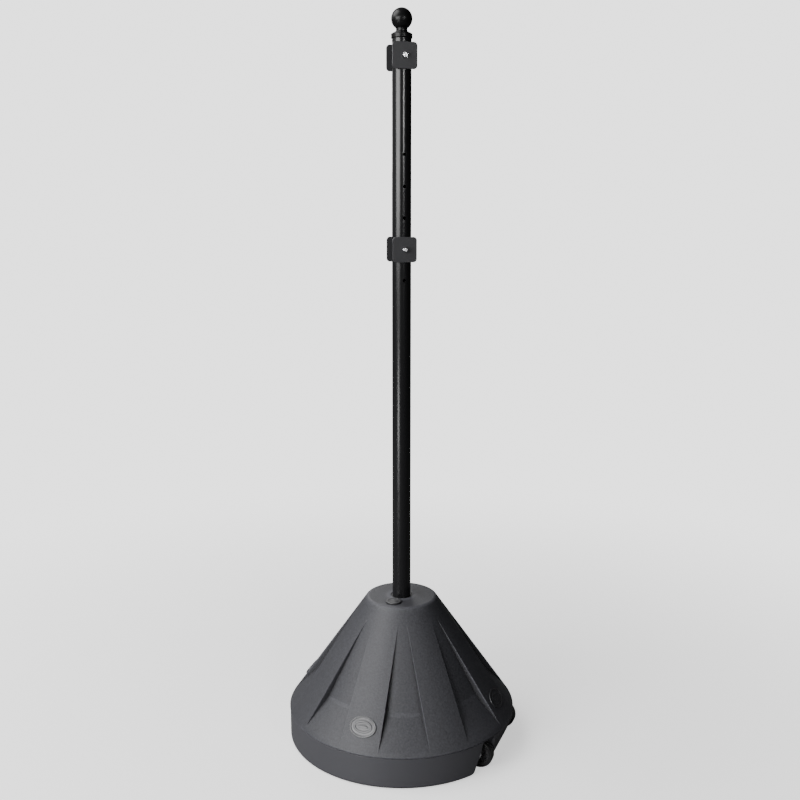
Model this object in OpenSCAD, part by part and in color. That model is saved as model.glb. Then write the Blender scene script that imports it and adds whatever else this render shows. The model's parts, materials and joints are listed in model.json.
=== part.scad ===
// Wheeled free-standing post stand with a fillable moulded base.
// Millimetres. +Z up, origin at the centre of the underside, wheels on the +X side, axle along Y.

/* [Base] */
// Diameter across the rim of the cone
rim_d = 630; // [600:10:660]
// Height of the base to its flat top
base_h = 402; // [390:2:410]
// Height of the parting line between the cone and the tray
part_z = 86; // [82:1:90]
// Diameter of the top end of the cone
crown_d = 202; // [190:2:206]
// Wall thickness of both mouldings
wall = 5; // [4:0.5:6]
// How far the tray's wall sits inside the rim of the cone
rim_lip = 1; // [0.5:0.5:2]
// Number of sunken panels around the cone
panel_count = 8; // [6:1:10]
// Depth of a sunken panel at its crease, measured level
panel_depth = 20; // [12:1:22]
// Slope of a sunken panel's side walls
panel_draft = 6; // [0:1:25]
// Length of the oval badge pads
badge_w = 73; // [50:1:78]
// Height of the oval badge pads
badge_h = 53; // [40:1:56]
// Diameter of the fill cap
cap_d = 42; // [36:1:44]

/* [Post] */
// Outer diameter of the post tube
post_d = 50; // [48:1:51]
// Wall thickness of the post tube
post_wall = 2; // [1.5:0.5:3]
// Height of the top of the post tube above the floor
post_top = 1876; // [1700:2:2000]
// Turn of the brackets and cross holes about the post, 0 faces +X
post_turn = -52; // [-90:1:0]
// Distance from the post's top end to its first cross hole
hole_inset = 43; // [40:1:50]
// Distance between neighbouring cross holes
hole_pitch = 80; // [76:1:90]
// Diameter of the cross holes
hole_d = 8.5; // [8.4:0.1:10]
// Diameter of the hole in the base that takes the post
well_d = 57; // [56:0.5:60]

/* [Brackets] */
// Side of the square bracket plates
plate_side = 65; // [60:1:70]
// Thickness of the bracket plates
plate_t = 5; // [3:0.5:6]
// Corner radius of the bracket plates
plate_corner = 9; // [4:1:14]
// Diameter of the through bolts
bolt_d = 8; // [6:0.5:8]

/* [Finial] */
// Diameter of the ball on top of the post
ball_d = 54; // [48:1:58]
// Diameter of the collar under the ball
collar_d = 54.5; // [52:0.5:58]

/* [Wheels] */
// Diameter of the wheels
wheel_d = 77; // [70:1:77]
// Width of the wheels
wheel_w = 27; // [24:1:28]
// Distance from the base's axis to the axle
axle_x = 265; // [260:1:265]
// Height of the axle above the floor
axle_z = 39.5; // [39.5:0.5:41]
// Distance between the middle planes of the two wheels
track = 225; // [222:1:230]
// Diameter of the axle
axle_d = 12; // [10:1:14]

/* [Hidden] */
$fn = 96;

plastic = [0.22, 0.22, 0.24];
smooth_plastic = [0.17, 0.17, 0.18];
gloss_black = [0.05, 0.05, 0.055];
plate_black = [0.12, 0.12, 0.13];
zinc = [0.78, 0.78, 0.80];
rubber = [0.08, 0.08, 0.08];

rim_r = rim_d / 2;
crown_r = crown_d / 2;
tray_r = rim_r - rim_lip;
shoulder = 5;        // radius between the cone and its rim
crown_round = 12;    // radius between the cone and its flat top
tray_foot = 10;      // radius around the underside
floor_t = 6;         // thickness of the tray's floor
seam_step = 2;       // how far the tray's wall steps in at the parting line

// The cone's straight side runs from its crown to where it meets the rim.
side_r0 = crown_r;
side_z0 = base_h - 8;
side_r1 = rim_r - 1;
side_z1 = part_z + 4;
slope = atan2(side_z0 - side_z1, side_r1 - side_r0);
function side_r(s) = side_r0 + (side_r1 - side_r0) * s;
function side_z(s) = side_z0 + (side_z1 - side_z0) * s;
function on_side_at_r(r) = side_z0 - (r - side_r0) * tan(slope);
function on_side_at_z(z) = side_r0 + (side_z0 - z) / tan(slope);
// Centre of an arc of radius a that lies against the side from within, given its height or its radius.
function round_r(a) = side_r0 + (side_z0 - (base_h - a) - a / cos(slope)) / tan(slope);
function round_z(r, a) = on_side_at_r(r) - a / cos(slope);

// A sunken panel starts at panel_s0, creases at panel_s1 and ends at panel_s2 of the side's length.
panel_s0 = 0.111;
panel_s1 = 0.722;
panel_s2 = 0.975;
panel_half0 = 12;    // half width where it starts
panel_half2 = 66;    // half width where it ends
badge_s = 0.824;
badge_t = 4;
badge_sink = 2.5;    // how deep a badge sits in its flat seat

// Well for the post, and the cup that the post stands in.
well_r = well_d / 2;
post_gap = 0.35;     // around the post in the cup and the guide ring
ring_h = 24;
cup_r = well_r - 0.35;
cup_h = 40;
cup_floor = 6;
cup_z = floor_t + 0.3;
foot_z = cup_z + cup_floor + 0.2;
foot_flange = 4;
post_r = post_d / 2;
bore_r = post_r - post_wall;
insert_h = 26;
stud_r = 5;
stud_len = 44;
collar_h = 14;
ball_r = ball_d / 2;
neck_r = 14.6;
neck_foot = 4;       // how far the neck's foot stands out
neck_foot_h = 2.5;
neck_len = 7;
ball_z = post_top + collar_h + neck_len + ball_r;

// Cross holes count down from the top, a pitch apart. Holes 1 and 2 aren't drilled.
top_hole = 0;
mid_hole = 6;
free_holes = [3, 4, 5, 7];
function hole_z(i) = post_top - hole_inset - hole_pitch * i;

bolt_r = bolt_d / 2;
washer_r = 8.5;
washer_t = 1.6;
nut_af = 13;
nut_t = 6.5;
head_t = 5.3;
bolt_out = post_r + plate_t + washer_t;   // from the post's axis to the washers' outer faces

// Wheel wells in the tray, open below and to +X. Their outer walls lean out towards the floor.
well_x = 216;
well_top = part_z - 3;
well_in = 92;        // inner walls, either side of the middle block
well_out_top = 134;
well_out_low = 168;
well_round = 20;     // where an outer wall turns into the underside
lean = atan2(well_top, well_out_low - well_out_top);
well_round_y = well_out_low - well_round / tan(lean) + well_round / sin(lean);
// The middle block between the wells is cut back by a slope, and has an open channel for the axle below.
block_low_x = 283;
block_top_x = 314;
block_top_z = 76;
channel_half = 11;
channel_end = 84;
rib_half = 6;
wheel_y = track / 2;
axle_r = axle_d / 2;
axle_gap = 0.05;
wheel_gap = 0.5;     // between a wheel and what holds it in place
cap_in = wheel_y + wheel_w / 2 + wheel_gap;
cap_len = 8;
flange_r = axle_r + 4;
flange_t = 1.5;
tyre_round = 6;
bead = 2;            // how far the rim's bead sits in from the wheel's faces
dish = 8;            // how deep the wheel's faces are hollowed
rim_outer_r = wheel_d / 2 - 9;
hub_r = 12;

fill_y = -60;
seal_t = 1.5;
cap_t = 3;
cap_skirt = 14;      // how far the cap reaches into its hole
cap_slot_w = 4;
fill_neck_r = cap_d / 2 - 5;
fill_hole_r = fill_neck_r + 0.4;

// Points of an arc about c, from angle a0 to a1, in n steps.
function arc(c, r, a0, a1, n) = [for (i = [0:n]) let (a = a0 + (a1 - a0) * i / n)
    [c[0] + r * cos(a), c[1] + r * sin(a)]];

// Outline of the cone moulding, from its axis over the crown to the parting line, moved in by inset.
function cone_outline(inset) =
    let (crown_c = [round_r(crown_round), base_h - crown_round],
        shoulder_c = [rim_r - shoulder, round_z(rim_r - shoulder, shoulder)])
    concat([[0, base_h - inset]],
        arc(crown_c, crown_round - inset, 90, 90 - slope, 6),
        inset > 0 ? [[on_side_at_z(part_z) - inset / sin(slope), part_z]]
            : concat(arc(shoulder_c, shoulder, 90 - slope, 0, 5), [[rim_r, part_z]]),
        [[0, part_z]]);

// Half space on the inner side of one edge of a sunken panel, moved out by grow; side is 1 or -1.
module panel_edge(side, grow) {
    x0 = side_r(panel_s0);
    z0 = side_z(panel_s0);
    run = side_r(panel_s2) - x0;
    rise = side_z(panel_s2) - z0;
    spread = panel_half2 - panel_half0;
    yaw = atan2(spread, run);
    pitch = atan2(-rise, norm([run, spread]));
    translate([x0, side * panel_half0, z0])
        rotate([0, 0, side * yaw])
            rotate([0, pitch, 0])
                rotate([side * panel_draft, 0, 0])
                    translate([-80, side > 0 ? grow - 300 : -grow, -90])
                        cube([540, 300, 180]);
}

// Core that a sunken panel's floor lies on, with its crease, moved in by inset.
module panel_core(inset) {
    r0 = side_r(panel_s0) - inset;
    z0 = side_z(panel_s0);
    r1 = side_r(panel_s1) - panel_depth - inset;
    z1 = side_z(panel_s1);
    r2 = side_r(panel_s2) - inset;
    z2 = side_z(panel_s2);
    up = (z0 - z1) / (r1 - r0);
    down = (z1 - z2) / (r2 - r1);
    rotate_extrude()
        polygon([[0, z0 + (r0 - 2) * up], [2, z0 + (r0 - 2) * up], [r1, z1],
            [r1 + (z1 - 20) / down, 20], [0, 20]]);
}

module panel_cut(inset) {
    difference() {
        intersection() {
            panel_edge(1, inset);
            panel_edge(-1, inset);
        }
        panel_core(inset);
    }
}

module all_panels(inset) {
    for (i = [0:panel_count - 1])
        rotate([0, 0, (i + 0.5) * 360 / panel_count])
            panel_cut(inset);
}

module cone_solid(inset) {
    rotate_extrude()
        polygon(cone_outline(inset));
}

module base_cone() {
    color(plastic)
        difference() {
            union() {
                difference() {
                    cone_solid(0);
                    all_panels(0);
                    difference() {
                        translate([0, 0, -0.01])
                            cone_solid(wall);
                        all_panels(wall * 1.2);
                    }
                }
                translate([0, 0, floor_t])
                    cylinder(r = well_r + wall, h = base_h - floor_t - 2);
            }
            translate([0, 0, floor_t - 1])
                cylinder(r = well_r, h = base_h);
            translate([0, fill_y, base_h - 40])
                cylinder(r = fill_hole_r, h = 50);
            on_badges()
                translate([0, 0, -badge_sink])
                    linear_extrude(20)
                        badge_outline();
        }
}

// Cross-section of the +Y wheel well, looking along X, with its walls moved out by grow.
module wheel_well_shape(grow) {
    shift = grow / sin(lean);
    polygon(concat([[well_in - grow, -1], [well_in - grow, well_top + grow],
        [well_out_top + shift, well_top + grow]],
        arc([well_round_y, well_round], well_round - grow, 270 - lean, 270, 6),
        [[well_round_y, -1]]));
}

module along_x(x0, x1) {
    translate([x0, 0, 0])
        rotate([90, 0, 90])
            linear_extrude(x1 - x0)
                children();
}

module along_y(y0, y1) {
    translate([0, y1, 0])
        rotate([90, 0, 0])
            linear_extrude(y1 - y0)
                children();
}

module wheel_wells(grow) {
    for (side = [0, 1])
        mirror([0, side, 0])
            along_x(well_x - grow, rim_r + 10)
                wheel_well_shape(grow);
}

module block_slope(grow) {
    along_y(-well_in, well_in)
        polygon([[block_low_x - grow, 0], [block_top_x - grow, block_top_z], [rim_r + 10, block_top_z],
            [rim_r + 10, -1], [block_low_x - grow, -1]]);
}

module axle_channel(grow) {
    half = channel_half + grow;
    difference() {
        translate([axle_x - half, -channel_end - grow, -1])
            cube([2 * half, 2 * (channel_end + grow), axle_z + half + 1]);
        if (grow == 0)
            translate([axle_x - half, -rib_half, -1])
                cube([2 * half, 2 * rib_half, part_z]);
    }
}

module base_tray() {
    tray_top = part_z - 0.02;
    color(smooth_plastic)
        difference() {
            rotate_extrude()
                polygon(concat([[0, 0]],
                    arc([tray_r - tray_foot, tray_foot], tray_foot, -90, 0, 6),
                    [[tray_r, tray_top - seam_step - 0.5], [tray_r - seam_step, tray_top - seam_step],
                        [tray_r - seam_step, tray_top], [0, tray_top]]));
            difference() {
                translate([0, 0, floor_t])
                    cylinder(r = tray_r - wall - seam_step, h = part_z);
                wheel_wells(wall);
                block_slope(wall);
                axle_channel(wall);
            }
            wheel_wells(0);
            block_slope(0);
            axle_channel(0);
            on_axle(1, -well_in - 1)
                cylinder(r = axle_r + axle_gap, h = 2 * well_in + 2);
        }
}

module badge_outline() {
    scale([1, badge_h / badge_w])
        circle(d = badge_w);
}

// Places a shape drawn about Z on each badge pad, pointing out of the cone's side.
module on_badges() {
    for (i = [0:3])
        rotate([0, 0, 90 * i])
            translate([side_r(badge_s), 0, side_z(badge_s)])
                rotate([0, slope, 0])
                    rotate([0, 0, 90])
                        children();
}

module base_badges() {
    color(plate_black)
        on_badges()
            translate([0, 0, -badge_sink])
                linear_extrude(badge_t)
                    badge_outline();
}

module fill_cap() {
    color(plate_black)
        translate([0, fill_y, base_h])
            difference() {
                union() {
                    translate([0, 0, seal_t])
                        cylinder(d = cap_d, h = cap_t);
                    translate([0, 0, -cap_skirt])
                        cylinder(r = fill_neck_r, h = cap_skirt + seal_t + 0.5);
                }
                translate([0, 0, -cap_skirt - 1])
                    cylinder(r = fill_neck_r - 3, h = cap_skirt);
                translate([0, 0, seal_t + cap_t])
                    cube([cap_d - 14, cap_slot_w, cap_t], center = true);
            }
}

module fill_cap_seal() {
    color(rubber)
        translate([0, fill_y, base_h])
            difference() {
                cylinder(r = cap_d / 2 - 1.5, h = seal_t);
                translate([0, 0, -1])
                    cylinder(r = fill_neck_r, h = 4);
            }
}

module guide_ring() {
    color(plate_black)
        translate([0, 0, base_h - ring_h])
            difference() {
                cylinder(r = well_r, h = ring_h - 1);
                translate([0, 0, -1])
                    cylinder(r = post_r + post_gap, h = ring_h + 2);
            }
}

module foot_cup() {
    color(plate_black)
        translate([0, 0, cup_z])
            difference() {
                cylinder(r = cup_r, h = cup_h);
                translate([0, 0, cup_floor])
                    cylinder(r = post_r + post_gap, h = cup_h);
            }
}

module cross_hole(z, r) {
    rotate([0, 0, post_turn])
        translate([-post_r - 20, 0, z])
            rotate([0, 90, 0])
                cylinder(r = r, h = 2 * post_r + 40);
}

module post_tube() {
    color(gloss_black)
        difference() {
            translate([0, 0, foot_z + foot_flange])
                cylinder(r = post_r, h = post_top - foot_z - foot_flange);
            translate([0, 0, foot_z])
                cylinder(r = bore_r, h = post_top);
            for (i = concat([top_hole, mid_hole], free_holes))
                cross_hole(hole_z(i), hole_d / 2);
        }
}

module post_foot_plug() {
    color(rubber)
        translate([0, 0, foot_z]) {
            cylinder(r = post_r, h = foot_flange);
            cylinder(r = bore_r, h = foot_flange + 24);
        }
}

module post_top_insert() {
    color(rubber)
        difference() {
            translate([0, 0, post_top - insert_h])
                cylinder(r = bore_r, h = insert_h);
            translate([0, 0, post_top - insert_h - 1])
                cylinder(r = stud_r, h = insert_h + 2);
        }
}

module finial_stud() {
    color(zinc)
        translate([0, 0, post_top - insert_h + 2])
            cylinder(r = stud_r, h = stud_len);
}

module finial_collar() {
    color(gloss_black)
        translate([0, 0, post_top])
            difference() {
                rotate_extrude()
                    polygon([[0, 0], [collar_d / 2 - 1, 0], [collar_d / 2, 1],
                        [collar_d / 2, collar_h - 2.5], [collar_d / 2 - 3, collar_h], [0, collar_h]]);
                translate([0, 0, -1])
                    cylinder(r = stud_r, h = collar_h + 2);
            }
}

module finial_ball() {
    base_z = post_top + collar_h;
    color(gloss_black)
        difference() {
            union() {
                translate([0, 0, ball_z])
                    sphere(r = ball_r);
                translate([0, 0, base_z])
                    cylinder(r = neck_r, h = ball_z - base_z);
                translate([0, 0, base_z])
                    cylinder(r = neck_r + neck_foot, h = neck_foot_h);
            }
            translate([0, 0, base_z - 1])
                cylinder(r = stud_r, h = stud_len - insert_h + 4);
        }
}

// Rounded square in the plate's plane.
module plate_outline() {
    inner = plate_side - 2 * plate_corner;
    square([plate_side, inner], center = true);
    square([inner, plate_side], center = true);
    for (x = [-1, 1], y = [-1, 1])
        translate([x * inner / 2, y * inner / 2])
            circle(r = plate_corner);
}

// Turns a shape drawn about Z so that its axis points out along the brackets' axis at hole i.
module at_hole(i) {
    rotate([0, 0, post_turn])
        translate([0, 0, hole_z(i)])
            rotate([0, 90, 0])
                children();
}

module plate(i, side) {
    color(plate_black)
        at_hole(i)
            translate([0, 0, side > 0 ? post_r : -post_r - plate_t])
                difference() {
                    linear_extrude(plate_t)
                        plate_outline();
                    translate([0, 0, -1])
                        cylinder(d = hole_d, h = plate_t + 2);
                }
}

module bolt(i) {
    color(zinc)
        at_hole(i) {
            translate([0, 0, -bolt_out])
                cylinder(r = bolt_r, h = 2 * bolt_out + nut_t + 3);
            translate([0, 0, -bolt_out - head_t])
                cylinder(d = nut_af / cos(30), h = head_t, $fn = 6);
        }
}

module nut(i) {
    color(zinc)
        at_hole(i)
            translate([0, 0, bolt_out])
                difference() {
                    cylinder(d = nut_af / cos(30), h = nut_t, $fn = 6);
                    translate([0, 0, -1])
                        cylinder(r = bolt_r, h = nut_t + 2);
                }
}

module washers(i) {
    color(plate_black)
        at_hole(i)
            for (z = [bolt_out - washer_t, -bolt_out])
                translate([0, 0, z])
                    difference() {
                        cylinder(r = washer_r, h = washer_t);
                        translate([0, 0, -1])
                            cylinder(r = bolt_r + 0.1, h = washer_t + 2);
                    }
}

module top_front_plate() plate(top_hole, 1);
module top_rear_plate() plate(top_hole, -1);
module top_bolt() bolt(top_hole);
module top_nut() nut(top_hole);
module top_washers() washers(top_hole);
module mid_front_plate() plate(mid_hole, 1);
module mid_rear_plate() plate(mid_hole, -1);
module mid_bolt() bolt(mid_hole);
module mid_nut() nut(mid_hole);
module mid_washers() washers(mid_hole);

// Places a shape drawn about Z on the axle, its base at distance y from the middle, pointing outward.
module on_axle(side, y) {
    translate([axle_x, side * y, axle_z])
        rotate([side > 0 ? -90 : 90, 0, 0])
            children();
}

module axle() {
    color(zinc)
        on_axle(-1, -cap_in - 5)
            cylinder(r = axle_r, h = 2 * cap_in + 10);
}

module axle_caps() {
    color(zinc)
        for (side = [-1, 1])
            on_axle(side, cap_in)
                difference() {
                    union() {
                        cylinder(r = flange_r, h = flange_t);
                        cylinder(r = axle_r + 2, h = cap_len);
                    }
                    translate([0, 0, -1])
                        cylinder(r = axle_r, h = 6);
                }
}

module axle_spacers() {
    color(zinc)
        for (side = [-1, 1])
            on_axle(side, well_in)
                difference() {
                    cylinder(r = flange_r, h = wheel_y - wheel_w / 2 - well_in - wheel_gap);
                    translate([0, 0, -1])
                        cylinder(r = axle_r, h = 10);
                }
}

module tyre(side) {
    arc_r = wheel_d / 2 - tyre_round;
    h = wheel_w / 2;
    color(rubber)
        on_axle(side, wheel_y)
            rotate_extrude()
                polygon(concat([[rim_outer_r, bead - h]],
                    arc([arc_r, tyre_round - h], tyre_round, -90, 0, 5),
                    arc([arc_r, h - tyre_round], tyre_round, 0, 90, 5),
                    [[rim_outer_r, h - bead]]));
}

module rim(side) {
    h = wheel_w / 2;
    bead_r = rim_outer_r - 4;
    color(smooth_plastic)
        on_axle(side, wheel_y)
            difference() {
                rotate_extrude()
                    polygon([[0, -h], [hub_r, -h], [hub_r, dish - h], [bead_r, dish - h],
                        [bead_r, bead - h], [rim_outer_r, bead - h], [rim_outer_r, h - bead],
                        [bead_r, h - bead], [bead_r, h - dish], [hub_r, h - dish],
                        [hub_r, h], [0, h]]);
                translate([0, 0, -h - 1])
                    cylinder(r = axle_r + axle_gap, h = wheel_w + 2);
            }
}

module left_tyre() tyre(1);
module left_rim() rim(1);
module right_tyre() tyre(-1);
module right_rim() rim(-1);

base_cone();
base_tray();
base_badges();
fill_cap();
fill_cap_seal();
guide_ring();
foot_cup();
post_tube();
post_foot_plug();
post_top_insert();
finial_stud();
finial_collar();
finial_ball();
top_front_plate();
top_rear_plate();
top_bolt();
top_nut();
top_washers();
mid_front_plate();
mid_rear_plate();
mid_bolt();
mid_nut();
mid_washers();
axle();
axle_caps();
axle_spacers();
left_tyre();
left_rim();
right_tyre();
right_rim();
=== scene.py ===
"""Wheeled free-standing post stand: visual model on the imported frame. Metres, +Z up, wheels at +X."""
import json
import math

import bmesh
import bpy
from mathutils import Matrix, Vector


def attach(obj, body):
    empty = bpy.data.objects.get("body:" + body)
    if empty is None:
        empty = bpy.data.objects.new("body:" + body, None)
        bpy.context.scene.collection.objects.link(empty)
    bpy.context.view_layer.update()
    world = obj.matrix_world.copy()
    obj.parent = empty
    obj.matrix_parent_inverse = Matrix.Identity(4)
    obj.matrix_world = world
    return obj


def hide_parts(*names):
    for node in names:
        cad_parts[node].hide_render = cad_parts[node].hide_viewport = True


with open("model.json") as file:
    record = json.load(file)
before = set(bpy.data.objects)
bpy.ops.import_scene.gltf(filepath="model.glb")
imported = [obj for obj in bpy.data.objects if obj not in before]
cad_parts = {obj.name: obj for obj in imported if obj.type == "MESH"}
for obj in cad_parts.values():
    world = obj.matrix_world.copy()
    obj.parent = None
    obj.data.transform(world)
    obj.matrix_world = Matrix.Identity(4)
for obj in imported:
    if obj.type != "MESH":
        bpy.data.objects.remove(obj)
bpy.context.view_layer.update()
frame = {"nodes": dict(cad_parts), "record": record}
NODES = frame["nodes"]
MM = 0.001
TAU = 2 * math.pi

# ---------------------------------------------------------------- dimensions, millimetres

# Base. The cone's straight side runs from (SIDE_R0, SIDE_Z0) at the crown to (SIDE_R1, SIDE_Z1) at the rim.
RIM_R = 315
BASE_H = 402
PART_Z = 86
TRAY_R = 314
TRAY_FOOT = 10
SEAM_STEP = 2
WALL = 5
CROWN_ROUND = 12
SHOULDER = 5
SIDE_R0, SIDE_Z0 = 101, 394
SIDE_R1, SIDE_Z1 = 314, 90
SLOPE = math.atan2(SIDE_Z0 - SIDE_Z1, SIDE_R1 - SIDE_R0)
WELL_R = 28.5
WELL_FLOOR = 6.2

# Sunken panels: start, crease and end along the side, and half widths at the start and the end.
PANELS = 8
HALF_SECTOR = math.pi / PANELS
PANEL_S = (0.111, 0.722, 0.975)
PANEL_HALF = (12, 66)
PANEL_DEPTH = 20 * math.sin(SLOPE)
PANEL_DRAFT = math.tan(math.radians(6))
PANEL_FOOT_ROUND = 2.5
PANEL_RIDGE_ROUND = 1.6
SHALLOW = 0.02
FLOOR_STEPS, WALL_STEPS, LAND_STEPS = 7, 24, 7

# Badges, with the relief as (inset from the outline, height over the cone).
BADGE_S = 0.824
BADGE_W, BADGE_H = 73, 53
BADGE_RELIEF = [
    (0.8, -2.5), (0, -1.9), (0, 0.6), (0.35, 1.2), (1.1, 1.5), (3.0, 1.5), (3.7, 1.2), (4.2, 0.5),
    (4.8, 0.1), (10.2, 0.2), (10.8, 0.6), (11.4, 1.2), (12.2, 1.45), (15.0, 1.45), (15.8, 1.2),
    (16.4, 0.6), (17.0, 0.3), (21.5, 0.5), (22.3, 1.1), (23.2, 1.4), (25.5, 1.5)]

# Fill cap, heights from the top of the base.
FILL_Y = -60
FILL_HOLE_R = 16.4
CAP_R = 21
CAP_LOW, CAP_TOP, CAP_DISH = 1.5, 4.5, 3.6
CAP_NECK_R, CAP_BORE_R, CAP_SKIRT = 16, 13, 14

# Wheel wells, the block between them and the axle's channel.
WELL_X = 216
WELL_IN, WELL_OUT_TOP, WELL_OUT_LOW = 92, 134, 168
WELL_TOP = PART_Z - 3
WELL_ROUND = 20
BLOCK_LOW_X, BLOCK_TOP_X, BLOCK_TOP_Z = 283, 314, 76
CHANNEL_HALF, CHANNEL_END, RIB_HALF = 11, 84, 6
AXLE = Vector((265, 0, 39.5))
AXLE_R, AXLE_BORE = 6, 6.05
TRACK = 225
WHEEL_R, WHEEL_W = 38.5, 27
TYRE_BORE = 29.5
HUB_R = 12

# Post, its cross holes and the two brackets.
POST_R, POST_BORE = 25, 23
POST_LOW, POST_TOP = 16.5, 1876
TURN = math.radians(-52)
HOLE_R = 4.25
HOLE_INSET, HOLE_PITCH = 43, 80
HOLES = [POST_TOP - HOLE_INSET - HOLE_PITCH * i for i in (0, 3, 4, 5, 6, 7)]
BRACKETS = {"top": POST_TOP - HOLE_INSET, "mid": POST_TOP - HOLE_INSET - 6 * HOLE_PITCH}
PLATE_HALF, PLATE_T, PLATE_CORNER = 32.5, 5, 9
BOLT_R, BOLT_PAST_NUT = 4, 3
THREAD_FROM, THREAD_PITCH, THREAD_ROOT_R = 6.3, 0.6, 3.65
NUT_ACROSS, NUT_T, HEAD_T = 13, 6.5, 5.3
HEX_CORNER_DROP = 1.1
WASHER_R, WASHER_BORE, WASHER_T = 8.5, 4.1, 1.6

# Finial.
STUD_R = 5
COLLAR_R, COLLAR_H = 27.25, 14
BALL_R = 27
NECK_R, NECK_FOOT_R, NECK_LEN = 14.6, 18.6, 7
BALL_BORE_DEPTH = 20


# ---------------------------------------------------------------- mesh helpers

def smooth(mesh, angle):
    for poly in mesh.polygons:
        poly.use_smooth = True
    mesh.set_sharp_from_angle(angle=math.radians(angle))


def finish_mesh(name, verts, faces, smooth_angle=35):
    """Object from vertices in millimetres, with its normals outward."""
    mesh = bpy.data.meshes.new(name)
    mesh.from_pydata([Vector(v) * MM for v in verts], [], faces)
    bm = bmesh.new()
    bm.from_mesh(mesh)
    bmesh.ops.remove_doubles(bm, verts=bm.verts, dist=1e-7)
    bmesh.ops.recalc_face_normals(bm, faces=bm.faces)
    bm.to_mesh(mesh)
    bm.free()
    smooth(mesh, smooth_angle)
    obj = bpy.data.objects.new(name, mesh)
    bpy.context.scene.collection.objects.link(obj)
    return obj


def arc(c, radius, a0, a1, steps):
    return [(c[0] + radius * math.cos(a0 + (a1 - a0) * k / steps),
             c[1] + radius * math.sin(a0 + (a1 - a0) * k / steps)) for k in range(steps + 1)]


def rounded(points, steps=5):
    """Closed outline of (x, y) or (x, y, radius) points with its corners rounded."""
    out = []
    for i, point in enumerate(points):
        radius = point[2] if len(point) > 2 else 0
        corner = Vector(point[:2])
        if not radius:
            out.append(tuple(corner))
            continue
        back = Vector(points[i - 1][:2]) - corner
        ahead = Vector(points[(i + 1) % len(points)][:2]) - corner
        half = back.angle(ahead) / 2
        reach = min(radius / math.tan(half), 0.49 * back.length, 0.49 * ahead.length)
        radius = reach * math.tan(half)
        back.normalize()
        ahead.normalize()
        centre = corner + (back + ahead).normalized() * (radius / math.sin(half))
        start = corner + back * reach - centre
        end = corner + ahead * reach - centre
        turn = math.atan2(start.x * end.y - start.y * end.x, start.dot(end))
        for k in range(steps + 1):
            c, s = math.cos(turn * k / steps), math.sin(turn * k / steps)
            out.append(tuple(centre + Vector((start.x * c - start.y * s, start.x * s + start.y * c))))
    return out


def lathe(name, outline, turns=96, smooth_angle=35):
    """Solid of revolution about Z of a closed (r, z) outline. Points with r 0 lie on the axis."""
    verts, rows = [], []
    for r, z in outline:
        if r < 1e-6:
            rows.append([len(verts)] * turns)
            verts.append((0, 0, z))
        else:
            rows.append([len(verts) + k for k in range(turns)])
            for k in range(turns):
                verts.append((r * math.cos(TAU * k / turns), r * math.sin(TAU * k / turns), z))
    faces = []
    for i, row in enumerate(rows):
        other = rows[(i + 1) % len(rows)]
        for k in range(turns):
            quad = [row[k], row[(k + 1) % turns], other[(k + 1) % turns], other[k]]
            ring = [v for j, v in enumerate(quad) if v != quad[j - 1]]
            if len(ring) > 2:
                faces.append(ring)
    return finish_mesh(name, verts, faces, smooth_angle)


def cylinder(name, r, z0, z1, turns=48):
    return lathe(name, [(0, z0), (r, z0), (r, z1), (0, z1)], turns)


def stack(name, rings, smooth_angle=35):
    """Solid through closed rings of equal count, capped at both ends."""
    count = len(rings[0])
    verts = [p for ring in rings for p in ring]
    faces = []
    for i in range(len(rings) - 1):
        for k in range(count):
            j = (k + 1) % count
            faces.append([i * count + k, i * count + j, (i + 1) * count + j, (i + 1) * count + k])
    faces.append(list(range(count))[::-1])
    faces.append([(len(rings) - 1) * count + k for k in range(count)])
    return finish_mesh(name, verts, faces, smooth_angle)


def along_x(name, outline, x0, x1):
    """Prism along X of a (y, z) outline."""
    return stack(name, [[(x, y, z) for y, z in outline] for x in (x0, x1)], 30)


def along_y(name, outline, y0, y1, smooth_angle=35):
    """Prism along Y of an (x, z) outline."""
    return stack(name, [[(x, y, z) for x, z in outline] for y in (y0, y1)], smooth_angle)


def edge_round(z0, z1, radius, steps=4):
    """(inset, z) pairs that round both ends of a slab."""
    low = [(radius * (1 - math.sin(t)), z0 + radius * (1 - math.cos(t)))
           for t in (math.pi / 2 * k / steps for k in range(steps + 1))]
    high = [(inset, z1 - (z - z0)) for inset, z in reversed(low)]
    return low + high


def transform(obj, place):
    """Moves each vertex by a function (x, y, z) -> (x, y, z), in millimetres."""
    for v in obj.data.vertices:
        v.co = Vector(place(*(v.co / MM))) * MM
    obj.data.update()
    return obj


def on_post(z0):
    """Maps a shape drawn about +Z to the brackets' axis at height z0, its own +Y upward."""
    c, s = math.cos(TURN), math.sin(TURN)

    def place(x, y, z):
        return (z * c - x * s, z * s + x * c, z0 + y)
    return place


def on_axle(side, y0):
    """Maps a shape drawn about +Z to the axle, pointing outward from y0."""
    def place(x, y, z):
        return (AXLE.x + x * side, side * (y0 + z), AXLE.z + y)
    return place


def bake(obj):
    """Applies the object's modifiers to its mesh."""
    deps = bpy.context.evaluated_depsgraph_get()
    mesh = bpy.data.meshes.new_from_object(obj.evaluated_get(deps))
    old = obj.data
    obj.modifiers.clear()
    obj.data = mesh
    bpy.data.meshes.remove(old)
    mesh.name = obj.name


def combine(obj, others, operation):
    """Boolean with other meshes, which are removed."""
    for other in others:
        mod = obj.modifiers.new("bool", "BOOLEAN")
        mod.operation = operation
        mod.solver = "EXACT"
        mod.object = other
    bake(obj)
    for other in others:
        bpy.data.objects.remove(other)
    return obj


def bevel(obj, width, segments, angle, smooth_angle=40):
    mod = obj.modifiers.new("bevel", "BEVEL")
    mod.width = width * MM
    mod.segments = segments
    mod.limit_method = "ANGLE"
    mod.angle_limit = math.radians(angle)
    mod.use_clamp_overlap = True
    bake(obj)
    smooth(obj.data, smooth_angle)
    return obj


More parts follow.
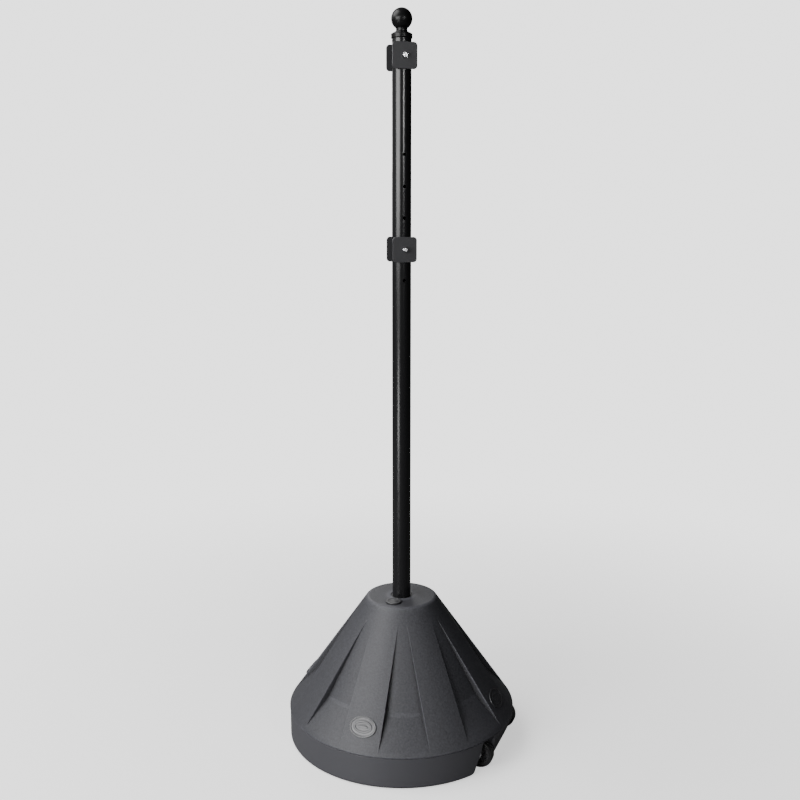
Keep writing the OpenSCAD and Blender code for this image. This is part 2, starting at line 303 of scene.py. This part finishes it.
def weigh_normals(obj):
    """Keeps large flat and round faces evenly shaded next to small edge rounds."""
    mod = obj.modifiers.new("weigh", "WEIGHTED_NORMAL")
    mod.keep_sharp = True
    mod.weight = 60
    bake(obj)


# ---------------------------------------------------------------- base, cone moulding

def side_point(s):
    return (SIDE_R0 + (SIDE_R1 - SIDE_R0) * s, SIDE_Z0 + (SIDE_Z1 - SIDE_Z0) * s)


def side_share(r):
    return (r - SIDE_R0) / (SIDE_R1 - SIDE_R0)


def soft_min(a, b, k):
    h = max(k - abs(a - b), 0) / k
    return min(a, b) - h * h * k / 4


def soft_max(a, b, k):
    return -soft_min(-a, -b, k)


def panel_floor(s):
    """Depth of the sunken panel's floor, square to the side."""
    down = PANEL_DEPTH * (s - PANEL_S[0]) / (PANEL_S[1] - PANEL_S[0])
    up = PANEL_DEPTH * (PANEL_S[2] - s) / (PANEL_S[2] - PANEL_S[1])
    return max(soft_max(0, soft_min(down, up, 1.6), 0.8), 0)


def side_marks(first, end):
    """Places of the skin's rows along the side, close together where a panel starts, creases and ends."""
    marks = []
    for centre in PANEL_S:
        marks += [centre + 0.045 * (k / 6) * abs(k / 6) for k in range(-6, 7)]
    marks += [first + (end - first) * k / 34 for k in range(1, 34)]
    kept = []
    for mark in sorted(m for m in marks if first + 0.002 < m < end - 0.002):
        if not kept or mark - kept[-1] > 0.0018:
            kept.append(mark)
    return kept


def cone_rows():
    """Closed section of the cone moulding: (r, z, place along the side or None)."""
    tan = math.tan(SLOPE)
    crown_z = BASE_H - CROWN_ROUND
    crown_c = (SIDE_R0 + (SIDE_Z0 - crown_z - CROWN_ROUND / math.cos(SLOPE)) / tan, crown_z)
    shoulder_r = RIM_R - SHOULDER
    shoulder_c = (shoulder_r, SIDE_Z0 - (shoulder_r - SIDE_R0) * tan - SHOULDER / math.cos(SLOPE))
    normal = math.pi / 2 - SLOPE
    top_arc = arc(crown_c, CROWN_ROUND, math.pi / 2, normal, 8)
    low_arc = arc(shoulder_c, SHOULDER, normal, 0, 6)
    mouth_r = WELL_R + 2
    above = [(WELL_R, BASE_H - 2), (WELL_R + 0.6, BASE_H - 0.6), (mouth_r, BASE_H)]
    above += [(mouth_r + (top_arc[0][0] - mouth_r) * k / 4, BASE_H) for k in range(1, 4)]
    above += top_arc
    rim = [(RIM_R, PART_Z + 0.5), (RIM_R - 0.15, PART_Z + 0.15), (RIM_R - 0.5, PART_Z),
           (RIM_R - 5, PART_Z), (RIM_R - 8, PART_Z + 6)]
    roof_z = BASE_H - WALL - 1
    inside = [(SIDE_R1 - 28, SIDE_Z1 + 16), (SIDE_R0 - 12, SIDE_Z0 - 22), (SIDE_R0 - 22, roof_z),
              (WELL_R + WALL + 2, roof_z), (WELL_R + WALL, roof_z - 2), (WELL_R + WALL, WELL_FLOOR),
              (WELL_R, WELL_FLOOR), (WELL_R, BASE_H - 30)]
    side = side_marks(side_share(top_arc[-1][0]), side_share(low_arc[0][0]))
    return ([(r, z, None) for r, z in above] + [side_point(s) + (s,) for s in side]
            + [(r, z, None) for r, z in low_arc + rim + inside])


def half_panel(r, s):
    """One row across half a sector, from the panel's middle outward: (angle, depth)."""
    place = min(max(side_share(r), 0.0), 1.0) if s is None else s
    share = (place - PANEL_S[0]) / (PANEL_S[2] - PANEL_S[0])
    half = max(PANEL_HALF[0] + (PANEL_HALF[1] - PANEL_HALF[0]) * share, 7.5)
    half = min(half, 0.8 * r * math.sin(HALF_SECTOR))
    depth = 0 if s is None else panel_floor(s)
    wall_from = half - max(depth * PANEL_DRAFT, 1.5) - 3
    wall_to = min(half + 3, 0.93 * r * math.sin(HALF_SECTOR))
    offsets = [wall_from * k / FLOOR_STEPS for k in range(FLOOR_STEPS)]
    offsets += [wall_from + (wall_to - wall_from) * k / WALL_STEPS for k in range(WALL_STEPS + 1)]
    line = []
    for y in offsets:
        sunk = 0
        if depth > SHALLOW:
            wall = (half - y) / PANEL_DRAFT
            sunk = soft_max(0, soft_min(depth, wall, PANEL_FOOT_ROUND), PANEL_RIDGE_ROUND)
            sunk = max(min(sunk, depth), 0)
        line.append((math.asin(min(y / r, 1)), sunk))
    edge = line[-1][0]
    line += [(edge + (HALF_SECTOR - edge) * k / LAND_STEPS, 0) for k in range(1, LAND_STEPS)]
    return line


def cone_skin(rows):
    """Vertices and faces of the closed skin through the rows."""
    verts = []
    for r, z, s in rows:
        half_line = half_panel(r, s)
        line = []
        for p in range(PANELS):
            mid = (p + 0.5) * TAU / PANELS
            line += [(mid - a, sunk) for a, sunk in reversed(half_line[1:])]
            line += [(mid + a, sunk) for a, sunk in half_line]
            line.append((mid + HALF_SECTOR, 0))
        for a, sunk in line:
            across = r - sunk * math.sin(SLOPE)
            verts.append((across * math.cos(a), across * math.sin(a), z - sunk * math.cos(SLOPE)))
    per_row = len(verts) // len(rows)
    faces = []
    for i in range(len(rows)):
        j = (i + 1) % len(rows)
        for k in range(per_row):
            m = (k + 1) % per_row
            faces.append([i * per_row + k, j * per_row + k, j * per_row + m, i * per_row + m])
    return verts, faces


def on_cap(x, y, z):
    return (x, y + FILL_Y, z + BASE_H)


def build_cone():
    cone = finish_mesh("cone_shell", *cone_skin(cone_rows()), 50)
    hole = transform(cylinder("fill_hole_cutter", FILL_HOLE_R, -40, 20, 64), on_cap)
    return combine(cone, [hole], "DIFFERENCE")


# ---------------------------------------------------------------- base, tray moulding

def wheel_well_cutters():
    lean = math.atan2(WELL_TOP, WELL_OUT_LOW - WELL_OUT_TOP)
    round_y = WELL_OUT_LOW - WELL_ROUND / math.tan(lean) + WELL_ROUND / math.sin(lean)
    shape = [(WELL_IN, -5), (WELL_IN, WELL_TOP, 6), (WELL_OUT_TOP, WELL_TOP, 8), (round_y, 30)]
    shape = rounded(shape, 5)[:-1]
    shape += arc((round_y, WELL_ROUND), WELL_ROUND, 1.5 * math.pi - lean, 1.5 * math.pi, 8)
    shape += [(round_y + 4, -5)]
    return [along_x("well_cutter", [(side * y, z) for y, z in shape], WELL_X, RIM_R + 20)
            for side in (1, -1)]


def block_cutters():
    """Slope of the block between the wheels, and the two halves of the axle's channel below it."""
    far_x = RIM_R + 15
    slope = [(BLOCK_LOW_X, 0), (BLOCK_TOP_X, BLOCK_TOP_Z), (far_x, BLOCK_TOP_Z), (far_x, -5),
             (BLOCK_LOW_X - 1, -5)]
    cutters = [along_y("slope_cutter", slope, -WELL_IN - 4, WELL_IN + 4, 30)]
    x0, x1, top = AXLE.x - CHANNEL_HALF, AXLE.x + CHANNEL_HALF, AXLE.z + CHANNEL_HALF
    channel = rounded([(x0, -5), (x1, -5), (x1, top, 4), (x0, top, 4)], 4)
    for y0, y1 in ((-CHANNEL_END, -RIB_HALF), (RIB_HALF, CHANNEL_END)):
        cutters.append(along_y("channel_cutter", channel, y0, y1))
    return cutters


def build_tray():
    top = PART_Z - 0.1
    step_r = TRAY_R - SEAM_STEP
    tray = lathe("tray_shell", rounded(
        [(0, 0), (TRAY_R, 0, TRAY_FOOT), (TRAY_R, top - 2.4, 0.6), (step_r, top - 1.6, 0.4), (step_r, top),
         (0, top)], 8), 288, 30)
    cavity_r = 205
    cavity = lathe("tray_cavity", rounded(
        [(0, 6), (cavity_r, 6, 6), (cavity_r, top - 6, 6), (0, top - 6)], 4), 96, 30)
    bore = cylinder("bore_cutter", AXLE_BORE, -WELL_IN - 1, WELL_IN + 1, 48)
    transform(bore, lambda x, y, z: (AXLE.x + x, z, AXLE.z + y))
    combine(tray, [cavity] + wheel_well_cutters() + block_cutters() + [bore], "DIFFERENCE")
    return bevel(tray, 1.6, 3, 38)


def build_badges():
    """Generic oval medals in relief, one on every second land."""
    turns = 96
    r0, z0 = side_point(BADGE_S)
    made = []
    for n in range(4):
        a = n * TAU / 4
        rings = []
        for inset, h in BADGE_RELIEF:
            ring = []
            for k in range(turns):
                t = TAU * k / turns
                u, v = (BADGE_W / 2 - inset) * math.cos(t), (BADGE_H / 2 - inset) * math.sin(t)
                r = r0 + h * math.sin(SLOPE) - v * math.cos(SLOPE)
                z = z0 + h * math.cos(SLOPE) + v * math.sin(SLOPE)
                ring.append((r * math.cos(a) - u * math.sin(a), r * math.sin(a) + u * math.cos(a), z))
            rings.append(ring)
        made.append(stack("badge_%d" % (n + 1), rings, 35))
    return made


def build_cap():
    cap = lathe("fill_cap_disc", rounded(
        [(0, CAP_LOW), (CAP_R, CAP_LOW, 0.5), (CAP_R, CAP_TOP, 1.0), (15.5, CAP_TOP, 0.6),
         (14.5, CAP_DISH, 0.6), (0, CAP_DISH)], 4), 96)
    neck = lathe("fill_cap_neck", [(0, 2), (CAP_NECK_R, 2), (CAP_NECK_R, -CAP_SKIRT),
                                   (CAP_BORE_R, -CAP_SKIRT), (CAP_BORE_R, -1), (0, -1)], 96)
    grip_x, grip_y, grip_round = 12.5, 2.2, 1.4
    grip = rounded([(x, y, grip_round) for x, y in
                    ((-grip_x, -grip_y), (grip_x, -grip_y), (grip_x, grip_y), (-grip_x, grip_y))], 4)
    bar = stack("fill_cap_bar", [[(x, y, z) for x, y in grip] for z in (3.0, 4.3)])
    combine(cap, [neck, bar], "UNION")
    smooth(cap.data, 35)
    return transform(cap, on_cap)


# ---------------------------------------------------------------- post and brackets

def build_post():
    """Drilled tube, with rows of vertices beside each hole and every 200 mm of its length."""
    levels = sorted([z0 + step for z0 in HOLES for step in (-8, 8)] + [200 * k for k in range(1, 6)])
    outline = [(POST_BORE, POST_LOW, 0.3), (POST_R, POST_LOW, 0.4)] + [(POST_R, z) for z in levels]
    outline += [(POST_R, POST_TOP, 0.4), (POST_BORE, POST_TOP, 0.3)]
    outline += [(POST_BORE, z) for z in reversed(levels)]
    tube = lathe("post_shell", rounded(outline, 3), 128)
    cutters = [transform(cylinder("hole_cutter", HOLE_R, -40, 40, 40), on_post(z0)) for z0 in HOLES]
    combine(tube, cutters, "DIFFERENCE")
    return bevel(tube, 0.35, 1, 50, 25)


def plate_ring(inset, z, steps=8):
    """Outline of a rounded square plate, pulled in by inset."""
    radius = PLATE_CORNER - inset
    centre = PLATE_HALF - inset - radius
    ring = []
    for quarter in range(4):
        cx = centre * (1 if quarter in (0, 3) else -1)
        cy = centre * (1 if quarter in (0, 1) else -1)
        a = TAU * quarter / 4
        ring += [(x, y, z) for x, y in arc((cx, cy), radius, a, a + math.pi / 2, steps)]
    return ring


def build_plate(name, z0, side):
    low, high = (POST_R, POST_R + PLATE_T) if side > 0 else (-POST_R - PLATE_T, -POST_R)
    plate = stack(name, [plate_ring(inset, z) for inset, z in edge_round(low, high, 0.9)])
    combine(plate, [cylinder(name + "_cutter", HOLE_R, low - 5, high + 5, 40)], "DIFFERENCE")
    bevel(plate, 0.3, 1, 60, 30)
    return transform(plate, on_post(z0))


def hexagon(name, z0, z1, bore=0, crown_high=False):
    """Hexagonal nut or bolt head, its corners turned down to a cone below and, if asked, above."""
    r = NUT_ACROSS / 2
    corner = r / math.cos(math.pi / 6)
    flats = [(corner * math.cos(TAU * k / 6), corner * math.sin(TAU * k / 6)) for k in range(6)]
    body = stack(name, [[(x, y, z) for x, y in flats] for z in (z0, z1)], 25)
    outline = [(0, z0), (r - 0.4, z0), (r + 1.7, z0 + HEX_CORNER_DROP)]
    outline += [(r + 1.7, z1 - HEX_CORNER_DROP), (r - 0.4, z1)] if crown_high else [(r + 1.7, z1)]
    combine(body, [lathe(name + "_turned", outline + [(0, z1)], 72)], "INTERSECT")
    if bore:
        combine(body, [cylinder(name + "_bore", bore, z0 - 2, z1 + 2, 48)], "DIFFERENCE")
    return bevel(body, 0.12, 1, 20)


def build_bolt(tag, out):
    """Bolt through both plates, its head on the far side, its thread cut past the nut at out."""
    tip = out + NUT_T + BOLT_PAST_NUT
    start = out + THREAD_FROM
    outline = [(0, -out), (BOLT_R, -out), (BOLT_R, start)]
    for k in range(int((tip - 0.8 - out - THREAD_FROM) / THREAD_PITCH)):
        base = start + THREAD_PITCH * k
        outline += [(BOLT_R, base + 0.1), (THREAD_ROOT_R, base + 0.3), (BOLT_R, base + 0.5)]
    outline += [(BOLT_R - 0.6, tip), (0, tip)]
    bolt = lathe(tag + "_bolt_turned", outline, 48)
    combine(bolt, [hexagon(tag + "_bolt_head", -out - HEAD_T, -out)], "UNION")
    smooth(bolt.data, 30)
    return bolt


def build_washer(name, low):
    high = low + WASHER_T
    return lathe(name, rounded([(WASHER_BORE, low, 0.2), (WASHER_R, low, 0.3), (WASHER_R, high, 0.3),
                                (WASHER_BORE, high, 0.2)], 3), 72)


def build_fasteners(tag, z0):
    out = POST_R + PLATE_T + WASHER_T
    bolt = build_bolt(tag, out)
    nut = hexagon(tag + "_nut_hex", out, out + NUT_T, BOLT_R, True)
    washers = [build_washer("%s_washer_%d" % (tag, n + 1), low)
               for n, low in enumerate((out - WASHER_T, -out))]
    for obj in [bolt, nut] + washers:
        transform(obj, on_post(z0))
    return bolt, nut, washers


# ---------------------------------------------------------------- finial

def build_collar():
    z = POST_TOP
    return lathe("collar_turned", rounded(
        [(STUD_R, z, 0.2), (COLLAR_R - 1.65, z, 0.8), (COLLAR_R, z + 1.8, 1.6), (COLLAR_R, z + 11.5, 2.2),
         (COLLAR_R - 4.25, z + COLLAR_H, 1.4), (STUD_R, z + COLLAR_H, 0.2)], 6), 96)


def build_ball():
    """Ball, neck and the neck's foot, turned in one, with a blind bore for the stud."""
    z0 = POST_TOP + COLLAR_H
    centre = z0 + NECK_LEN + BALL_R
    join = math.acos(NECK_R / BALL_R)
    throat = centre - BALL_R * math.sin(join)
    foot = rounded([(STUD_R, z0), (NECK_FOOT_R, z0, 0.8), (NECK_FOOT_R, z0 + 2.5, 0.9),
                    (NECK_R, z0 + 3.2, 1.6), (NECK_R, centre - 20)], 5)[1:-1]
    outline = [(0, z0 + BALL_BORE_DEPTH), (STUD_R, z0 + BALL_BORE_DEPTH), (STUD_R, z0),
               (NECK_FOOT_R - 0.4, z0)]
    outline += [p for p in foot if p[1] < throat - 1]
    outline += [(NECK_R, throat - 1.2), (NECK_R + 0.15, throat - 0.3)]
    outline += arc((0, centre), BALL_R, -join + 0.03, math.pi / 2, 40)[:-1] + [(0, centre + BALL_R)]
    return lathe("ball_turned", outline, 96, 40)


# ---------------------------------------------------------------- wheels

def build_tyre(tag):
    """Tyre with rounded shoulders and a fine groove round its middle."""
    h = WHEEL_W / 2
    half = [(TYRE_BORE, -h + 2, 0.6), (TYRE_BORE + 2.5, -h + 0.6, 1), (WHEEL_R - 3, -h, 3),
            (WHEEL_R, -h + 5, 3), (WHEEL_R, -1.6, 0.5), (WHEEL_R - 1.2, -1.1, 0.3)]
    other = [(r, -z, radius) for r, z, radius in reversed(half)]
    return lathe(tag + "_tyre_ring", rounded(half + other, 4), 120)


def build_rim(tag):
    """Rim with a dished disc, and six ribs on each face between its hub and its bead."""
    h = WHEEL_W / 2
    bead_r, web_r = 24, 23.4
    outline = [(AXLE_BORE, -h, 0.3), (HUB_R, -h, 0.8), (HUB_R + 0.6, -h + 7.5, 1.5), (web_r, -h + 8, 1.5),
               (bead_r, -h + 2, 0.6), (TYRE_BORE, -h + 2, 0.3), (TYRE_BORE, h - 2, 0.3),
               (bead_r, h - 2, 0.6), (web_r, h - 8, 1.5), (HUB_R + 0.6, h - 7.5, 1.5),
               (HUB_R, h, 0.8), (AXLE_BORE, h, 0.3)]
    rim = lathe(tag + "_rim_disc", rounded(outline, 4), 96)
    bar = [(HUB_R - 0.5, -1.3), (bead_r + 0.5, -1.3), (bead_r + 0.5, 1.3), (HUB_R - 0.5, 1.3)]
    ribs = []
    for k in range(6):
        c, s = math.cos(TAU * k / 6), math.sin(TAU * k / 6)
        turned = [(x * c - y * s, x * s + y * c) for x, y in bar]
        for low, high in ((-h + 3.5, -h + 8.5), (h - 8.5, h - 3.5)):
            ribs.append(stack(tag + "_rib", [[(x, y, z) for x, y in turned] for z in (low, high)]))
    combine(rim, ribs, "UNION")
    smooth(rim.data, 35)
    return rim


def build_axle_cap(tag, side):
    """Domed cap pushed on the axle's end, with a flange towards the wheel."""
    start = TRACK / 2 + WHEEL_W / 2 + 0.5
    outline = rounded([(AXLE_R, start, 0.2), (10, start, 0.4), (10, start + 1.5, 0.5),
                       (8.2, start + 1.8, 0.5), (8, start + 6, 2), (4, start + 8, 4), (0, start + 8)], 5)
    cap = lathe(tag + "_axle_cap", outline + [(0, start + 5), (AXLE_R, start + 5)], 72)
    return transform(cap, on_axle(side, 0))


# ---------------------------------------------------------------- materials

def add_node(tree, kind, values=None, **settings):
    """New shader node with its sockets' values and its own settings."""
    made = tree.nodes.new("ShaderNode" + kind)
    for setting, value in settings.items():
        setattr(made, setting, value)
    for socket, value in (values or {}).items():
        made.inputs[socket].default_value = value
    return made


def add_grain(tree, where, shader, height, scale):
    noise = add_node(tree, "TexNoise", {"Scale": scale, "Detail": 3, "Roughness": 0.6})
    bump = add_node(tree, "Bump", {"Strength": 1.0, "Distance": height * MM})
    tree.links.new(where.outputs["Object"], noise.inputs["Vector"])
    tree.links.new(noise.outputs["Fac"], bump.inputs["Height"])
    tree.links.new(bump.outputs["Normal"], shader.inputs["Normal"])


def scale_by_edges(tree, level, painted_edge_highlight, painted_corner_shade):
    """A colour level raised on outward edges as a painted highlight, and lowered in inward corners as
    painted shade.
    """
    shape = add_node(tree, "NewGeometry")
    # painted highlight: the pointiness of convex ridges lightens the colour
    edge = add_node(tree, "MapRange",
                    {"From Min": 0.503, "From Max": 0.525, "To Min": 1, "To Max": 1 + painted_edge_highlight})
    tree.links.new(shape.outputs["Pointiness"], edge.inputs["Value"])
    # painted shade: ambient occlusion darkens the colour in the inward corners
    corner = add_node(tree, "AmbientOcclusion", {"Distance": 14 * MM}, samples=8)
    shade = add_node(tree, "MapRange",
                     {"From Min": 0.5, "From Max": 0.95, "To Min": 1 - painted_corner_shade, "To Max": 1})
    tree.links.new(corner.outputs["AO"], shade.inputs["Value"])
    for factor in (edge, shade):
        times = add_node(tree, "Math", operation="MULTIPLY")
        tree.links.new(level, times.inputs[0])
        tree.links.new(factor.outputs["Result"], times.inputs[1])
        level = times.outputs["Value"]
    return level


def material(name, colour, rough, metallic=0.0, grain=0.0, grain_scale=900.0, drift=0.0, drift_scale=6.0,
             rough_drift=0.0, specular=0.5, painted_edge_highlight=0.0, painted_corner_shade=0.0):
    """Principled surface in object space, with grain as bump (mm) and drifting colour and roughness.

    Of the last two arguments, the first paints a highlight on the outward edges and the second paints shade
    into the inward corners.
    """
    mat = bpy.data.materials.new(name)
    mat.use_nodes = True
    tree = mat.node_tree
    shader = tree.nodes["Principled BSDF"]
    for socket, value in (("Base Color", (*colour, 1)), ("Roughness", rough), ("Metallic", metallic),
                          ("Specular IOR Level", specular)):
        shader.inputs[socket].default_value = value
    where = add_node(tree, "TexCoord")
    if grain:
        add_grain(tree, where, shader, grain, grain_scale)
    if drift or rough_drift:
        cloud = add_node(tree, "TexNoise", {"Scale": drift_scale, "Detail": 4})
        tree.links.new(where.outputs["Object"], cloud.inputs["Vector"])
    if drift:
        span = add_node(tree, "MapRange", {"To Min": 1 - drift, "To Max": 1 + drift})
        tree.links.new(cloud.outputs["Fac"], span.inputs["Value"])
        level = span.outputs["Result"]
        # painted highlight on the ridges and painted shade in the corners, multiplied into the colour
        if painted_edge_highlight:
            level = scale_by_edges(tree, level, painted_edge_highlight, painted_corner_shade)
        tint = add_node(tree, "VectorMath", {0: colour}, operation="SCALE")
        tree.links.new(level, tint.inputs["Scale"])
        tree.links.new(tint.outputs["Vector"], shader.inputs["Base Color"])
    if rough_drift:
        low, high = max(rough - rough_drift, 0), min(rough + rough_drift, 1)
        span = add_node(tree, "MapRange", {"To Min": low, "To Max": high})
        tree.links.new(cloud.outputs["Fac"], span.inputs["Value"])
        tree.links.new(span.outputs["Result"], shader.inputs["Roughness"])
    return mat


MATS = {
    # the cone's colour has a painted highlight along its ridges and painted shade in its inward corners
    "cone_plastic": material("moulded_grain", (0.0285, 0.0288, 0.0330), 0.54, grain=0.45, grain_scale=300,
                             drift=0.6, drift_scale=210, rough_drift=0.06, specular=0.36, painted_edge_highlight=1.2,
                             painted_corner_shade=0.6),
    "tray_plastic": material("moulded_satin", (0.0425, 0.0425, 0.0480), 0.5, grain=0.03, grain_scale=500,
                             drift=0.04, rough_drift=0.03),
    "badge_plastic": material("badge_gloss", (0.023, 0.023, 0.0255), 0.34, drift=0.03, rough_drift=0.02),
    "cap_plastic": material("cap_satin", (0.022, 0.022, 0.024), 0.45, grain=0.03, drift=0.04),
    "seal_rubber": material("seal_matt", (0.020, 0.020, 0.020), 0.75, grain=0.03),
    "ring_plastic": material("ring_satin", (0.007, 0.007, 0.0075), 0.5, grain=0.02),
    "post_paint": material("post_gloss", (0.006, 0.006, 0.0065), 0.24, rough_drift=0.02, specular=0.32),
    "plug_rubber": material("plug_matt", (0.018, 0.018, 0.018), 0.7, grain=0.03),
    "plate_paint": material("plate_satin", (0.026, 0.026, 0.028), 0.5, grain=0.02, drift=0.03,
                            rough_drift=0.03, specular=0.25),
    "zinc": material("zinc_bright", (0.78, 0.78, 0.80), 0.24, metallic=1, grain=0.01, drift=0.04,
                     rough_drift=0.05),
    "finial_gloss": material("finial_black", (0.004, 0.004, 0.0042), 0.30, drift=0.02, specular=0.17),
    "tyre_rubber": material("tyre_satin", (0.010, 0.010, 0.0104), 0.33, grain=0.03, drift=0.05),
    "rim_plastic": material("rim_satin", (0.018, 0.018, 0.019), 0.40, grain=0.02, drift=0.04),
}


# ---------------------------------------------------------------- assembly

def dress(obj, slot, body, *nodes):
    """Gives a finished piece its material, the body it rides on and the CAD nodes it replaces."""
    weigh_normals(obj)
    obj.data.materials.clear()
    obj.data.materials.append(MATS[slot])
    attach(obj, body)
    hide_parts(*nodes)


def add_base():
    dress(build_cone(), "cone_plastic", "base", "base_cone")
    dress(build_tray(), "tray_plastic", "base", "base_tray")
    for badge in build_badges():
        dress(badge, "badge_plastic", "base", "base_badges")
    dress(build_cap(), "cap_plastic", "fill_cap", "fill_cap")


def add_post():
    dress(build_post(), "post_paint", "post", "post_tube")
    dress(build_collar(), "finial_gloss", "post", "finial_collar")
    dress(build_ball(), "finial_gloss", "post", "finial_ball")


def add_bracket(tag, height):
    dress(build_plate(tag + "_front_square", height, 1), "plate_paint", "post", tag + "_front_plate")
    dress(build_plate(tag + "_rear_square", height, -1), "plate_paint", "post", tag + "_rear_plate")
    bolt, nut, washers = build_fasteners(tag, height)
    dress(bolt, "zinc", "post", tag + "_bolt")
    dress(nut, "zinc", "post", tag + "_nut")
    for washer in washers:
        dress(washer, "plate_paint", "post", tag + "_washers")


def add_wheel(tag, side):
    body = tag + "_wheel"
    middle = on_axle(side, TRACK / 2)
    dress(transform(build_tyre(tag), middle), "tyre_rubber", body, tag + "_tyre")
    dress(transform(build_rim(tag), middle), "rim_plastic", body, tag + "_rim")
    dress(build_axle_cap(tag, side), "zinc", "base", "axle_caps")


def dress_nodes():
    """Materials for the CAD nodes, by the slots that the record gives them."""
    slot_of = {part["node"]: part["material_slot"] for part in frame["record"]["subparts"]}
    for name, obj in NODES.items():
        obj.data.materials.clear()
        obj.data.materials.append(MATS[slot_of[name]])
        smooth(obj.data, 30)


add_base()
add_post()
for bracket_name, bracket_z in BRACKETS.items():
    add_bracket(bracket_name, bracket_z)
add_wheel("left", 1)
add_wheel("right", -1)
dress_nodes()

# ---------------------------------------------------------------- floor, light, camera

VIEW_AZ = math.radians(21.1)
AHEAD = Vector((-math.sin(VIEW_AZ), math.cos(VIEW_AZ), 0))
RIGHT = Vector((math.cos(VIEW_AZ), math.sin(VIEW_AZ), 0))
UP = Vector((0, 0, 1))
PALE = 2.4           # strength of the backdrop, and of the floor's far part
FLOOR_REACH = 300
FLOOR_TONE = 0.86
FLOOR_BOUNCE = 0.11  # what the floor sends back to the object
FADE_FROM, FADE_TO = 0.45, 2.6
DIM_SIDE, BRIGHT_SIDE = 0.008, 0.40
CAMERA_LENS = 44.4
CAMERA_PLACE = (0, -2.603, 1.443)
CAMERA_TILT = math.radians(10.66)
CAMERA_TURN = 0.0016


def seen_from_camera(right, ahead, up):
    return RIGHT * right + AHEAD * ahead + UP * up


def build_floor():
    """Pale floor whose far part fades into the backdrop."""
    mesh = bpy.data.meshes.new("studio_floor")
    corners = [(-1, -1, 0), (1, -1, 0), (1, 1, 0), (-1, 1, 0)]
    mesh.from_pydata([Vector(c) * FLOOR_REACH for c in corners], [], [(0, 1, 2, 3)])
    obj = bpy.data.objects.new("studio_floor", mesh)
    bpy.context.scene.collection.objects.link(obj)
    mat = material("floor_pale", (FLOOR_TONE,) * 3, 0.9, specular=0.0)
    tree = mat.node_tree
    links = tree.links
    surface = tree.nodes["Principled BSDF"]
    seen = add_node(tree, "LightPath")
    where = add_node(tree, "NewGeometry")
    length = add_node(tree, "VectorMath", operation="LENGTH")
    far = add_node(tree, "MapRange", {"From Min": FADE_FROM, "From Max": FADE_TO, "To Min": 0.35},
                   interpolation_type="SMOOTHSTEP")
    share = add_node(tree, "Math", operation="MULTIPLY")
    tone = add_node(tree, "Mix", {"A": FLOOR_BOUNCE, "B": FLOOR_TONE})
    glow = add_node(tree, "Emission", {"Strength": PALE})
    mix = add_node(tree, "MixShader")
    links.new(where.outputs["Position"], length.inputs[0])
    links.new(length.outputs["Value"], far.inputs["Value"])
    links.new(far.outputs["Result"], share.inputs[0])
    links.new(seen.outputs["Is Camera Ray"], share.inputs[1])
    links.new(seen.outputs["Is Camera Ray"], tone.inputs["Factor"])
    links.new(tone.outputs["Result"], surface.inputs["Base Color"])
    links.new(share.outputs["Value"], mix.inputs["Fac"])
    links.new(surface.outputs["BSDF"], mix.inputs[1])
    links.new(glow.outputs["Emission"], mix.inputs[2])
    links.new(mix.outputs["Shader"], tree.nodes["Material Output"].inputs["Surface"])
    mesh.materials.append(mat)


def build_world():
    """Dim surroundings, brighter on the camera's left, with a pale backdrop."""
    world = bpy.data.worlds.new("studio")
    world.use_nodes = True
    tree = world.node_tree
    links = tree.links
    back = tree.nodes["Background"]
    back.inputs["Color"].default_value = (1, 1, 1, 1)
    where = add_node(tree, "TexCoord")
    side = add_node(tree, "VectorMath", {1: -RIGHT}, operation="DOT_PRODUCT")
    level = add_node(tree, "MapRange",
                     {"From Min": -0.6, "From Max": 1.0, "To Min": DIM_SIDE, "To Max": BRIGHT_SIDE})
    seen = add_node(tree, "LightPath")
    pick = add_node(tree, "Mix", {"B": PALE})
    links.new(where.outputs["Generated"], side.inputs[0])
    links.new(side.outputs["Value"], level.inputs["Value"])
    links.new(seen.outputs["Is Camera Ray"], pick.inputs["Factor"])
    links.new(level.outputs["Result"], pick.inputs["A"])
    links.new(pick.outputs["Result"], back.inputs["Strength"])
    bpy.context.scene.world = world


def area_light(name, place, target_z, size, power):
    """Rectangular light, (width, height) in size, aimed at the post's axis at height target_z."""
    light = bpy.data.lights.new(name, "AREA")
    light.shape = "RECTANGLE"
    light.size, light.size_y = size
    light.energy = power
    obj = bpy.data.objects.new(name, light)
    obj.location = place
    obj.rotation_euler = (Vector((0, 0, target_z)) - place).to_track_quat("-Z", "Y").to_euler()
    bpy.context.scene.collection.objects.link(obj)


def build_camera():
    data = bpy.data.cameras.new("photo_camera")
    data.sensor_width = 36
    data.lens = CAMERA_LENS
    data.clip_end = 1000
    camera = bpy.data.objects.new("photo_camera", data)
    camera.location = seen_from_camera(*CAMERA_PLACE)
    camera.rotation_euler = (math.pi / 2 - CAMERA_TILT, 0, VIEW_AZ + CAMERA_TURN)
    bpy.context.scene.collection.objects.link(camera)
    bpy.context.scene.camera = camera


build_floor()
build_world()
area_light("key_left", seen_from_camera(-2.6, -2.75, 2.05), 0.8, (3.1, 1.5), 225)
area_light("low_left", seen_from_camera(-2.1, -2.7, 0.24), 0.3, (1.2, 0.4), 32)
area_light("top_left", seen_from_camera(-2.7, -0.2, 4.2), 0.2, (3.2, 3.2), 250)
area_light("strip_right", seen_from_camera(1.52, -3.26, 2.1), 1.75, (0.24, 0.5), 38)
area_light("back_left", seen_from_camera(-0.9, 3.1, 2.4), 0.4, (1.6, 1.6), 42)
build_camera()
